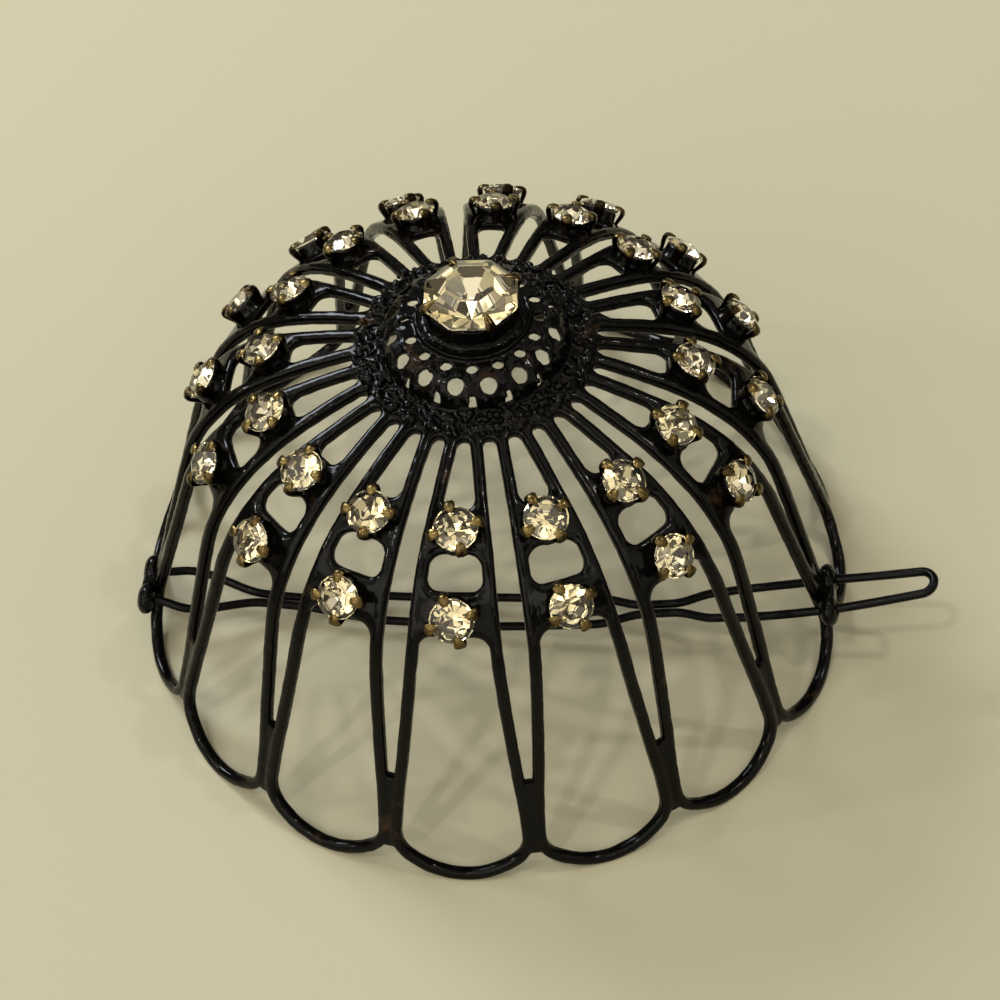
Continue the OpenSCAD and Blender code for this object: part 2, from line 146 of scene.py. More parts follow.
def swept(name, rings):  # a skin over rings of points, closed at both ends
    n = len(rings[0])
    points = [p for ring in rings for p in ring]
    faces = [(i * n + s, i * n + (s + 1) % n, (i + 1) * n + (s + 1) % n, (i + 1) * n + s)
             for i in range(len(rings) - 1) for s in range(n)]
    faces += [tuple(reversed(range(n))), tuple((len(rings) - 1) * n + s for s in range(n))]
    obj = meshFrom(name, points, faces)
    outwards(obj)
    return obj


def outwards(obj):
    pick(obj)
    bpy.ops.object.mode_set(mode="EDIT")
    bpy.ops.mesh.select_all(action="SELECT")
    bpy.ops.mesh.remove_doubles(threshold=oneCorner)
    bpy.ops.mesh.normals_make_consistent(inside=False)
    bpy.ops.object.mode_set(mode="OBJECT")


def join(name, objects):
    obj = pick(*objects)
    bpy.ops.object.join()
    obj.name = name
    return obj


def applyAll(obj):
    pick(obj)
    for modifier in list(obj.modifiers):
        bpy.ops.object.modifier_apply(modifier=modifier.name)


def fuse(obj, voxel, smooth, faces):  # cast in one: remesh, soften, thin out to so many triangles
    remesh = obj.modifiers.new("fuse", "REMESH")
    remesh.mode = "VOXEL"
    remesh.voxel_size = voxel
    remesh.use_smooth_shade = True
    soft = obj.modifiers.new("soften", "SMOOTH")
    soft.factor = 0.5
    soft.iterations = smooth
    applyAll(obj)
    count = sum(len(p.vertices) - 2 for p in obj.data.polygons)
    if count > faces:
        thin = obj.modifiers.new("thin", "DECIMATE")
        thin.ratio = faces / count
        applyAll(obj)
    print("  fused", obj.name, count, "->", sum(len(p.vertices) - 2 for p in obj.data.polygons))


def cutAway(obj, cutter):  # takes the cutter's shape out of a piece, and the cutter away
    cut = obj.modifiers.new("cut", "BOOLEAN")
    cut.operation = "DIFFERENCE"
    cut.solver = "EXACT"
    cut.use_self = True
    cut.object = cutter
    applyAll(obj)
    bpy.data.objects.remove(cutter)


def ripple(obj, waves):  # the unevenness of cast and enamelled metal, each wave a size and a height
    for size, height in waves:
        texture = bpy.data.textures.new(obj.name + "Ripple", "CLOUDS")
        texture.noise_scale = size
        texture.noise_depth = 1
        displace = obj.modifiers.new("ripple", "DISPLACE")
        displace.texture = texture
        displace.texture_coords = "LOCAL"
        displace.strength = height
        displace.mid_level = 0.5
        applyAll(obj)


def rod(radius, length, place, sides):  # a round cutter
    bpy.ops.mesh.primitive_cylinder_add(vertices=sides, radius=radius, depth=length)
    bpy.context.object.data.transform(place)
    return bpy.context.object


def turned(name, profile, steps):  # a closed profile of radius and height, spun round Z
    rings = []
    for s in range(steps):
        a = 2 * pi * s / steps
        rings.append([(r * cos(a), r * sin(a), z) for r, z in profile])
    n = len(profile)
    points = [p for ring in rings for p in ring]
    faces = [(s * n + i, s * n + (i + 1) % n, (s + 1) % steps * n + (i + 1) % n, (s + 1) % steps * n + i)
             for s in range(steps) for i in range(n)]
    obj = meshFrom(name, points, faces)
    outwards(obj)
    return obj


def smoothShade(obj, angle=None):
    pick(obj)
    if angle is None:
        bpy.ops.object.shade_smooth()
    else:
        bpy.ops.object.shade_smooth_by_angle(angle=angle)


def finished(obj, name, body, material=None, place=None):  # its place goes into the mesh
    matrix = Matrix.Scale(mm, 4) @ (place if place else Matrix.Identity(4))
    obj.data.transform(matrix)
    obj.data.update()
    obj.name = name
    obj.data.name = name
    if material:
        obj.data.materials.clear()
        obj.data.materials.append(material)
    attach(obj, body)
    return obj


def copyOf(obj):
    twin = obj.copy()
    twin.data = obj.data.copy()
    bpy.context.collection.objects.link(twin)
    return twin


# Materials

def newMaterial(name):
    material = bpy.data.materials.new(name)
    material.use_nodes = True
    nodes = material.node_tree.nodes
    return material, nodes, material.node_tree.links, nodes["Principled BSDF"]


castLook = {
    "grainDetail": 4,
    "wearDetail": 5,
    "wearRoughness": 0.62,
    "wearFull": 0.8,
    "pitSize": 1.3,  # against the grain's
    "pitDepth": 0.35,
    "grainRange": (0.3, 0.7),
    "bumpDistance": 0.0001,
}


def castGroup():  # one group for the unevenness and the wear of all enamelled and bare metal
    tree = bpy.data.node_groups.new("castSurface", "ShaderNodeTree")
    for name in ("Grain size", "Wear size", "Wear from"):
        tree.interface.new_socket(name, in_out="INPUT", socket_type="NodeSocketFloat")
    for name in ("Grain", "Wear", "Height"):
        tree.interface.new_socket(name, in_out="OUTPUT", socket_type="NodeSocketFloat")
    nodes, links = tree.nodes, tree.links
    entry = nodes.new("NodeGroupInput")
    leave = nodes.new("NodeGroupOutput")
    coords = nodes.new("ShaderNodeTexCoord")
    fine = nodes.new("ShaderNodeTexNoise")
    fine.inputs["Detail"].default_value = castLook["grainDetail"]
    coarse = nodes.new("ShaderNodeTexNoise")
    coarse.inputs["Detail"].default_value = castLook["wearDetail"]
    coarse.inputs["Roughness"].default_value = castLook["wearRoughness"]
    pits = nodes.new("ShaderNodeTexVoronoi")
    pitSize = nodes.new("ShaderNodeMath")
    pitSize.operation = "MULTIPLY"
    pitSize.inputs[1].default_value = castLook["pitSize"]
    links.new(entry.outputs["Grain size"], pitSize.inputs[0])
    links.new(pitSize.outputs[0], pits.inputs["Scale"])
    for texture in (fine, coarse, pits):
        links.new(coords.outputs["Object"], texture.inputs["Vector"])
    links.new(entry.outputs["Grain size"], fine.inputs["Scale"])
    links.new(entry.outputs["Wear size"], coarse.inputs["Scale"])
    worn = nodes.new("ShaderNodeMapRange")
    links.new(coarse.outputs["Fac"], worn.inputs["Value"])
    links.new(entry.outputs["Wear from"], worn.inputs["From Min"])
    worn.inputs["From Max"].default_value = castLook["wearFull"]
    height = nodes.new("ShaderNodeMath")
    height.operation = "MULTIPLY_ADD"
    height.inputs[1].default_value = castLook["pitDepth"]
    links.new(pits.outputs["Distance"], height.inputs[0])
    links.new(fine.outputs["Fac"], height.inputs[2])
    links.new(fine.outputs["Fac"], leave.inputs["Grain"])
    links.new(worn.outputs["Result"], leave.inputs["Wear"])
    links.new(height.outputs[0], leave.inputs["Height"])
    return tree


castSurface = castGroup()


def metalMaterial(name, look):
    material, nodes, links, shader = newMaterial(name)
    cast = nodes.new("ShaderNodeGroup")
    cast.node_tree = castSurface
    cast.inputs["Grain size"].default_value = look["grain"]
    cast.inputs["Wear size"].default_value = look["wearSize"]
    cast.inputs["Wear from"].default_value = look["wearFrom"]
    colour = nodes.new("ShaderNodeMix")
    colour.data_type = "RGBA"
    colour.inputs[6].default_value = (*look["colour"], 1)
    colour.inputs[7].default_value = (*look["worn"], 1)
    links.new(cast.outputs["Wear"], colour.inputs[0])
    links.new(colour.outputs[2], shader.inputs["Base Color"])
    rough = nodes.new("ShaderNodeMapRange")
    rough.inputs["From Min"].default_value, rough.inputs["From Max"].default_value = castLook["grainRange"]
    rough.inputs["To Min"].default_value, rough.inputs["To Max"].default_value = look["roughness"]
    links.new(cast.outputs["Grain"], rough.inputs["Value"])
    links.new(rough.outputs["Result"], shader.inputs["Roughness"])
    bump = nodes.new("ShaderNodeBump")
    bump.inputs["Strength"].default_value = look["bump"]
    bump.inputs["Distance"].default_value = castLook["bumpDistance"]
    links.new(cast.outputs["Height"], bump.inputs["Height"])
    links.new(bump.outputs["Normal"], shader.inputs["Normal"])
    shader.inputs["Metallic"].default_value = look["metallic"]
    shader.inputs["Specular IOR Level"].default_value = look["specular"]
    return material, nodes, links, shader, colour


enamelLook = {
    "colour": (0.0016, 0.0014, 0.0011),
    "worn": (0.05, 0.024, 0.01),
    "roughness": (0.06, 0.18),
    "metallic": 0.0,
    "specular": 0.14,
    "bump": 0.35,
    "grain": 800,
    "wearSize": 240,
    "wearFrom": 0.62,
}
pinLook = {
    "colour": (0.002, 0.0018, 0.0015),
    "worn": (0.012, 0.007, 0.004),
    "roughness": (0.18, 0.34),
    "metallic": 0.0,
    "specular": 0.12,
    "bump": 0.25,
    "grain": 1200,
    "wearSize": 180,
    "wearFrom": 0.6,
}
blackEnamel = metalMaterial("blackEnamel", enamelLook)[0]
pinEnamel = metalMaterial("pinEnamel", pinLook)[0]

brassLook = {
    "colour": (0.2, 0.142, 0.052),
    "worn": (0.035, 0.02, 0.009),
    "roughness": (0.2, 0.4),
    "metallic": 1.0,
    "specular": 0.5,
    "bump": 0.5,
    "grain": 1300,
    "wearSize": 700,
    "wearFrom": 0.4,
    "enamel": (0.011, 0.007, 0.004),
    "patches": 800,
    "unevenness": 0.9,
    "bare": (0.92, 1.2),  # from enamel to brass, counted from a prong's foot to its tip
}


def prongMaterial():  # brass where the enamel has gone, black near the foot
    material, nodes, links, shader, colour = metalMaterial("wornBrass", brassLook)
    wear = nodes.new("ShaderNodeAttribute")
    wear.attribute_name = "wear"
    spread = nodes.new("ShaderNodeTexNoise")
    spread.inputs["Scale"].default_value = brassLook["patches"]
    coords = nodes.new("ShaderNodeTexCoord")
    links.new(coords.outputs["Object"], spread.inputs["Vector"])
    add = nodes.new("ShaderNodeMath")
    add.operation = "MULTIPLY_ADD"
    add.inputs[1].default_value = brassLook["unevenness"]
    links.new(spread.outputs["Fac"], add.inputs[0])
    links.new(wear.outputs["Fac"], add.inputs[2])
    edge = nodes.new("ShaderNodeMapRange")
    edge.inputs["From Min"].default_value, edge.inputs["From Max"].default_value = brassLook["bare"]
    links.new(add.outputs[0], edge.inputs["Value"])
    skin = nodes.new("ShaderNodeMix")
    skin.data_type = "RGBA"
    skin.inputs[6].default_value = (*brassLook["enamel"], 1)
    links.new(edge.outputs["Result"], skin.inputs[0])
    links.new(colour.outputs[2], skin.inputs[7])
    links.new(skin.outputs[2], shader.inputs["Base Color"])
    return material


wornBrass = prongMaterial()

glassLook = {
    "colour": (1.0, 0.985, 0.94),
    "bending": 1.56,
    "foil": (0.95, 0.885, 0.69),
    "foilRoughness": 0.02,
    "paintedGlow": (1.0, 0.84, 0.58),  # painted glow of the foil, standing in for light that has been round the stone
    "paintedGlowStrength": 0.035,
}


def stoneMaterials():  # clear glass above, champagne foil behind the pavilion, with a faint painted glow
    crown, nodes, links, shader = newMaterial("stoneCrown")
    shader.inputs["Base Color"].default_value = (*glassLook["colour"], 1)
    shader.inputs["Transmission Weight"].default_value = 1.0
    shader.inputs["IOR"].default_value = glassLook["bending"]
    shader.inputs["Roughness"].default_value = 0.0
    foil, nodes, links, shader = newMaterial("stoneFoilPaintedGlow")
    shader.inputs["Base Color"].default_value = (*glassLook["foil"], 1)
    shader.inputs["Metallic"].default_value = 1.0
    shader.inputs["Roughness"].default_value = glassLook["foilRoughness"]
    # painted light: the foil glows faintly by itself, standing in for light that has been round the stone
    shader.inputs["Emission Color"].default_value = (*glassLook["paintedGlow"], 1)
    shader.inputs["Emission Strength"].default_value = glassLook["paintedGlowStrength"]
    return [crown, foil]


stoneFinish = stoneMaterials()
print("materials made")

# The openwork: a pair of neighbouring bars from the rosette to the rim, modelled once and copied round
bars = {
    "width": 1.22,
    "sides": 16,
    "squareness": 0.72,  # 1 is a round bar, less is squarer
    "startRadius": 11.2,
    "slotStart": 12.1,
    "slotHalf": 1.15,
    "slot": [  # share of the way down, share of the half width
        (0, 0.48), (0.26, 0.7), (0.49, 0.82), (0.61, 0.92), (0.77, 1), (0.85, 0.85), (0.95, 0.5), (1, 0.3),
    ],
    "crotchHeight": 11.8,
    "crotchGap": 0.2,
    "columns": [  # height, way of a bar's middle from the joint
        (3.0, 0.62), (4.7, 0.6), (8.0, 0.7), (10.4, 0.86), (11.8, 0.995),
    ],
    "columnFoot": 3.6,
    "arcRadius": 9.575,
    "arcCentre": 10.15,
    "arcTop": 9.5,
    "arcStart": 3.5,
    "arcAlone": 0.02,  # below this turn the arc runs free of the column
    "arcEnd": -0.08,  # a little past the petal's middle, where its two bars meet
    "sections": (0.5, 0.3, 0.035),  # steps down the slot, down the column and round the arc
    "fillet": 1.5,
    "plates": [  # under the settings: ring, reach up and down the dome, fillet
        (dome["innerRing"], 2.3, 2.05, 1.1),
        (dome["outerRing"], 2.4, 2.1, 1.1),
    ],
    "plateRings": 17,
    "plateFrom": -0.12,  # shares of the way from the petal's middle to its bar
    "plateStep": 0.0825,
    "plateInBar": 3,
    "plateSides": 20,
    "plateSquareness": 0.55,
    "sink": 0.02,  # plates and webs lie this much below the bars' faces
    "seat": 1.8,
    "seatDepth": 0.58,
    "webStart": 10.6,
    "webEnd": 11.95,
    "webRings": 9,
    "webInBar": 0.55,
    "webSides": 16,
    "webSquareness": 0.6,
    "slotWebRadius": 12.6,
    "gapHalf": 0.62,
    "solder": (0.75, 0.56, 0.04),  # half width, half depth, sunk
    "solderTop": 11.6,
    "solderStep": 0.25,
    "solderRings": 35,
    "foot": 0.08,
    "cast": (0.12, 5, 24000),  # voxel, softening, triangles
    "ripples": [(2.2, 0.08), (0.8, 0.06)],
}
crotchRadius = domeRadius(bars["crotchHeight"])


def lookup(table, x):  # read between the rows of a table
    if x <= table[0][0]:
        return table[0][1]
    for (x0, y0), (x1, y1) in zip(table, table[1:]):
        if x <= x1:
            return y0 + (y1 - y0) * (x - x0) / (x1 - x0)
    return table[-1][1]


def slotHalfAt(r):
    share = (r - bars["slotStart"]) / (crotchRadius - bars["slotStart"])
    return lookup(bars["slot"], share) * bars["slotHalf"]


def openHalfAt(r):  # half the opening between a petal's two bars
    return r * sin(step / 2) - slotHalfAt(r) - dome["barWidth"]


def softMin(a, b, k):  # the smaller of two, with a rounded change from one to the other
    h = max(k - abs(a - b), 0) / k
    return min(a, b) - h * h * k / 4


def filletAt(left, radius):  # how far a round corner reaches at a distance from its side
    short = radius - min(max(left, 0), radius)
    return radius - sqrt(radius ** 2 - short ** 2)


def barAcross(z):  # how far a bar runs from its petal's middle, below the crotch
    r = domeRadius(z)
    column = r * sin(step / 2 - asin(lookup(bars["columns"], z) / r))
    if z > bars["arcTop"]:
        return column
    arc = sqrt(bars["arcRadius"] ** 2 - (bars["arcCentre"] - z) ** 2)
    return softMin(column, arc, bars["fillet"])


def barLine():  # turn from the joint, radius and height, from the rosette down to a petal's middle
    downSlot, downColumn, roundArc = bars["sections"]
    line = []
    r = bars["startRadius"]
    while r < crotchRadius:
        line.append((asin((slotHalfAt(r) + dome["barWidth"] / 2) / r), r, domeHeight(r)))
        r += downSlot
    z = bars["crotchHeight"] - bars["crotchGap"]
    while z > bars["columnFoot"]:
        r = domeRadius(z)
        line.append((step / 2 - asin(barAcross(z) / r), r, z))
        z -= downColumn
    t = acos((bars["arcCentre"] - bars["arcStart"]) / bars["arcRadius"])
    while t > bars["arcEnd"]:
        z = bars["arcCentre"] - bars["arcRadius"] * cos(t)
        r = domeRadius(z)
        reach = barAcross(z) if t > bars["arcAlone"] else bars["arcRadius"] * sin(t)
        line.append((step / 2 - asin(reach / r), r, z))
        t -= roundArc
    return line


def squareRound(n, a, b, power):  # a section between a round and a square, of n corners
    def bent(v):
        return abs(v) ** power * (1 if v > 0 else -1)
    return [(a * bent(cos(2 * pi * (i + 0.5) / n)), b * bent(sin(2 * pi * (i + 0.5) / n))) for i in range(n)]


def barSkin(name, line, side, halfWidth, halfDepth, sink=0.0):
    centres = [domePoint(side * t, r, dome["metal"] / 2 + sink, z) for t, r, z in line]
    rings = []
    for i, (t, r, z) in enumerate(line):
        up = domeNormal(side * t, r)
        ahead = (centres[min(i + 1, len(line) - 1)] - centres[max(i - 1, 0)]).normalized()
        across = ahead.cross(up).normalized()
        section = squareRound(bars["sides"], halfWidth, halfDepth, bars["squareness"])
        rings.append([centres[i] + across * a + up * b for a, b in section])
    return swept(name, rings)


def plateSkin(name, side, radius, up, down, fillet):  # under a setting, from the petal's middle to its bar
    rings = []
    for i in range(bars["plateRings"]):
        share = bars["plateFrom"] + bars["plateStep"] * i
        grow = filletAt((1 - share) * openHalfAt(radius), fillet)
        ring = []
        for a, b in squareRound(bars["plateSides"], 1, 1, bars["plateSquareness"]):
            r = downDome(radius, a * ((down if a > 0 else up) + grow))
            half = openHalfAt(r)
            w = share * half if share < 1 else half + (share - 1) * bars["plateInBar"]
            depth = dome["metal"] / 2 * (1 - b) + bars["sink"]
            ring.append(domePoint(side * (step / 2 - asin(w / r)), r, depth))
        rings.append(ring)
    return swept(name, rings)


def webSkin(name, turn, half):  # closes an opening at the rosette with a round end
    start = bars["webStart"]
    n = bars["webRings"]
    rings = []
    for i in range(2 * n + 1):
        w = (half + bars["webInBar"]) * (i / n - 1)
        reach = bars["webEnd"] + filletAt(half - abs(w), half)
        ring = []
        for a, b in squareRound(bars["webSides"], 1, 1, bars["webSquareness"]):
            r = start + (reach - start) * (a + 1) / 2
            depth = dome["metal"] / 2 * (1 - b) + bars["sink"]
            ring.append(domePoint(turn + atan2(w, r), hypot(r, w), depth))
        rings.append(ring)
    return swept(name, rings)


def barPair():
    line = barLine()
    parts = [webSkin("web", 0, slotHalfAt(bars["slotWebRadius"]))]
    for side in (-1, 1):
        parts.append(barSkin("bar", line, side, bars["width"] / 2, dome["metal"] / 2))
        parts.append(webSkin("web", side * step / 2, bars["gapHalf"]))
        for plate in bars["plates"]:
            parts.append(plateSkin("plate", side, *plate))
    heights = [bars["solderTop"] - bars["solderStep"] * i for i in range(bars["solderRings"])]
    parts.append(barSkin("solder", [(0.0, domeRadius(z), z) for z in heights], 1, *bars["solder"]))
    pair = join("barPair", parts)
    fuse(pair, *bars["cast"])
    seats = []
    for side in (-1, 1):  # room for the stones in the plates
        for ring in (dome["innerRing"], dome["outerRing"]):
            seats.append(rod(bars["seat"], bars["seatDepth"] * 2, onDome(side * step / 2, ring), 24))
    cutAway(pair, join("seats", seats))
    pick(pair)
    bpy.ops.object.mode_set(mode="EDIT")
    for side in (-1, 1):  # each pair ends at its petals' middles
        a = side * step / 2
        away = (-side * sin(a), side * cos(a), 0)
        bpy.ops.mesh.select_all(action="SELECT")
        bpy.ops.mesh.bisect(plane_co=(0, 0, 0), plane_no=away, use_fill=True, clear_outer=True)
    bpy.ops.mesh.select_all(action="SELECT")
    bpy.ops.mesh.bisect(plane_co=(0, 0, bars["foot"]), plane_no=(0, 0, 1), use_fill=True, clear_inner=True)
    bpy.ops.object.mode_set(mode="OBJECT")
    smoothShade(pair, creases["bars"])
    return pair


pair = barPair()
for k in range(dome["petals"]):
    twin = copyOf(pair)
    twin.data.transform(Matrix.Rotation(petalTurn(k + 0.5), 4, "Z"))
    ripple(twin, bars["ripples"])
    finished(twin, "bar_pair_%d" % (k + 1), "cage", blackEnamel)
bpy.data.objects.remove(pair)
print("bars made")

# The rosette: collar, pierced dish and the border of cast lumps
rosette = {
    "collarRadius": 5.1,
    "seatLip": (4.15, 43.05),
    "drumRadius": 4.4,
    "drumLine": [  # way out from the drum's radius, height
        (0.1, 43.2), (0.12, 42.9), (0, 42.5), (0, 41.5), (0.1, 41.1), (0.35, 40.92),
    ],
    "ledge": [(5.3, 40.85), (5.48, 40.94), (5.6, 40.84), (5.62, 40.55)],
    "well": [(4.9, 39.2), (0.6, 38.9), (0.6, 39.5)],  # under the stone
    "top": 40.5,
    "skirtRadius": 9.2,
    "sheet": 0.5,
    "steps": 128,
    "dish": [(0.14, 0.03), (0.2, 0.03), (0.35, 0.03), (0.55, 0.07), (0.78, 0.22), (0.92, 0.5), (1, 0.94)],
    "underDish": [(0.9, 0.95), (0.82, 0.55), (0.7, 0.26), (0.5, 0.1), (0.1, 0.0)],  # shares of width and drop
    "border": [9.8, 10.6, 11.3, 11.6],
    "borderEdge": [(11.8, 0.4), (11.8, 0.9)],  # radius, depth under the dome
    "turn": radians(-7),
    "holeDrop": 0.65,
    "largeRing": 8.1,
    "largeHole": 1.62,
    "largeCut": 5,
    "largeTilt": radians(20),
    "smallRing": 6.4,
    "smallHole": 1.12,
    "smallCut": 4,
    "slit": (1.3, 0.85, 4.4),  # length, width, depth of its cutter
    "slitTaper": 0.6,
    "slitTilt": radians(60),
    "slitInside": 0.3,
    "grains": [(0, 10.1, 0.95, 0.05), (0.25, 11.1, 1.1, 0.0)],  # turn in petals, radius, size, lift
    "lumps": 300,
    "lumpRadii": (9.2, 11.8),
    "lumpSizes": (0.32, 0.92),
    "lumpLifts": (0.0, 0.42),
    "lumpStretch": [(0.8, 1.35), (0.7, 1.1), (0.8, 1.2)],
    "beadRings": (7.3, 9.0),
    "beadShift": 0.125,  # in petals
    "beadStray": 0.15,
    "beadRadii": (0.22, 0.36),
    "innerBeadDrop": 0.2,
    "outerBeadShare": 0.55,  # of the dish's drop
    "cast": (0.1, 2, 130000),
    "ripples": [(0.6, 0.12), (0.3, 0.05)],
    "seed": 7,
}
rosetteDrop = rosette["top"] - domeHeight(rosette["skirtRadius"])


def dishLine(shares, top):
    width = rosette["skirtRadius"] - rosette["collarRadius"]
    return [(rosette["collarRadius"] + a * width, top - b * rosetteDrop) for a, b in shares]


def rosetteProfile():
    line = [rosette["seatLip"]] + [(rosette["drumRadius"] + a, z) for a, z in rosette["drumLine"]]
    line += rosette["ledge"] + dishLine(rosette["dish"], rosette["top"])
    line += [(r, domeHeight(r)) for r in rosette["border"]]
    line += [(r, domeHeight(r) - depth) for r, depth in rosette["borderEdge"]]
    line += [(r, domeHeight(r) - dome["metal"]) for r in reversed(rosette["border"])]
    return line + dishLine(rosette["underDish"], rosette["top"] - rosette["sheet"]) + rosette["well"]


def makeHoles():
    cutters = []
    height = rosette["top"] - rosette["holeDrop"]
    for k in range(dome["petals"]):
        axis = Matrix.Rotation(petalTurn(k) + rosette["turn"], 4, "Z")
        between = Matrix.Rotation(step / 2, 4, "Z") @ axis
        place = axis @ Matrix.Translation((rosette["largeRing"], 0, height))
        place = place @ Matrix.Rotation(rosette["largeTilt"], 4, "Y")
        cutters.append(rod(rosette["largeHole"] / 2, rosette["largeCut"], place, 24))
        place = between @ Matrix.Translation((rosette["smallRing"], 0, height))
        cutters.append(rod(rosette["smallHole"] / 2, rosette["smallCut"], place, 20))
        bpy.ops.mesh.primitive_cube_add(size=1)
        slit = bpy.context.object
        for v in slit.data.vertices:  # narrower towards the top
            v.co.y *= rosette["slitTaper"] if v.co.x < 0 else 1.0
        r = rosette["skirtRadius"] - rosette["slitInside"]
        place = between @ Matrix.Translation((r, 0, rosette["top"] - rosetteDrop * 2 / 3))
        size = Matrix.Diagonal((*rosette["slit"], 1))
        slit.data.transform(place @ Matrix.Rotation(rosette["slitTilt"], 4, "Y") @ size)
        cutters.append(slit)
    holes = join("holes", cutters)
    outwards(holes)
    return holes


def makeLumps():
    rng = random.Random(rosette["seed"])
    lumps = []

    def lump(turn, r, size, lift):
        bpy.ops.mesh.primitive_ico_sphere_add(subdivisions=2, radius=size / 2)
        one = bpy.context.object
        stretch = Matrix.Diagonal((*[rng.uniform(*limits) for limits in rosette["lumpStretch"]], 1))
        one.data.transform(onDome(turn, r, lift) @ Matrix.Rotation(rng.uniform(0, pi), 4, "Z") @ stretch)
        lumps.append(one)

    for i in range(2 * dome["petals"]):
        for shift, r, size, lift in rosette["grains"]:
            lump(petalTurn(i / 2 + shift), r, size, lift)
    for i in range(rosette["lumps"]):
        turn = rng.uniform(0, 2 * pi)
        lump(turn, *[rng.uniform(*rosette[key]) for key in ("lumpRadii", "lumpSizes", "lumpLifts")])
    for k in range(4 * dome["petals"]):  # beads between the holes, in turn on two rings
        turn = petalTurn(k / 4 + rosette["beadShift"]) + rosette["turn"]
        r = rosette["beadRings"][k % 2] + rng.uniform(-rosette["beadStray"], rosette["beadStray"])
        bpy.ops.mesh.primitive_ico_sphere_add(subdivisions=2, radius=rng.uniform(*rosette["beadRadii"]))
        drop = rosette["outerBeadShare"] * rosetteDrop if k % 2 else rosette["innerBeadDrop"]
        place = Matrix.Rotation(turn, 4, "Z") @ Matrix.Translation((r, 0, rosette["top"] - drop))
        bpy.context.object.data.transform(place)
        lumps.append(bpy.context.object)
    return lumps


def makeRosette():
    body = turned("rosette", rosetteProfile(), rosette["steps"])
    cutAway(body, makeHoles())
    body = join("rosette", [body] + makeLumps())
    fuse(body, *rosette["cast"])
    ripple(body, rosette["ripples"])
    smoothShade(body)
    finished(body, "rosette", "cage", blackEnamel)


makeRosette()
print("rosette made")

# The small settings: cup, prongs and stone
setting = {
    "stone": 4.25,
    "crown": 0.62,
    "pavilion": 1.8,
    "girdle": 0.14,
    "table": 0.55,  # shares of the stone's radius: the table's corners and the crown's middle corners
    "kite": 0.8,
    "flat": 1,  # 1 is a round girdle, less is eight-sided
    "lift": 1.25,
    "rings": [("inner", dome["innerRing"]), ("outer", dome["outerRing"])],
    "cup": [(1.82, 0.95), (1.9, 0.8), (1.86, 0.5), (1.9, 0.1), (2.05, -0.3), (2.15, -0.55), (1.6, -0.62),
            (0.5, -0.5), (0.5, -0.3), (1.1, 0.2)],
    "cupSteps": 32,
    "ripples": [(0.9, 0.16)],
    "prongPath": [(2.0, -0.5), (2.2, 0.2), (2.42, 0.8), (2.5, 1.2), (2.42, 1.5), (2.15, 1.68), (1.8, 1.74),
                  (1.52, 1.8)],
    "prongWidths": [0.9, 0.95, 1.1, 1.2, 1.2, 1.05, 0.85, 0.5],
    "prongThicks": [0.4, 0.42, 0.5, 0.54, 0.5, 0.4, 0.3, 0.16],
    "prongTurn": radians(16),
    "unevenness": radians(7),
    "tilt": 3,  # degrees
    "seed": 21,
}
# A prong's section, in shares of half its width and half its thickness
prongSection = [(-1, 0), (-0.75, 0.7), (0, 1), (0.75, 0.7), (1, 0), (0.75, -0.8), (0, -1), (-0.75, -0.8)]


def makeCup():
    cup = turned("cup", setting["cup"], setting["cupSteps"])
    smoothShade(cup, creases["cups"])
    return cup


def prongRings(look):  # one prong along X and Z
    path = look["prongPath"]
    rings = []
    for i, (x, z) in enumerate(path):
        x0, z0 = path[max(i - 1, 0)]
        x1, z1 = path[min(i + 1, len(path) - 1)]
        ahead = Vector((x1 - x0, 0, z1 - z0)).normalized()
        out = Vector((0, 1, 0)).cross(ahead)
        w, t = look["prongWidths"][i] / 2, look["prongThicks"][i] / 2
        middle = Vector((x, 0, z))
        rings.append([middle + Vector((0, 1, 0)) * (a * w) + out * (b * t) for a, b in prongSection])
    return rings


def makeProngs(name, look, turn):
    parts = []
    for q in range(4):
        rings = prongRings(look)
        one = swept(name, rings)
        wear = one.data.attributes.new("wear", "FLOAT", "POINT")  # from 0 at the foot to 1 at the tip
        n = len(rings[0])
        for i in range(len(one.data.vertices)):
            wear.data[i].value = (i // n) / (len(rings) - 1)
        one.data.transform(Matrix.Rotation(turn + q * pi / 2, 4, "Z"))
        parts.append(one)
    prongs = join(name, parts)
    smoothShade(prongs, creases["prongs"])
    return prongs


pavilionRows = [(0.3, 1.0), (0.66, 1.03)]  # share of a stone's radius, and how far its pavilion bulges there


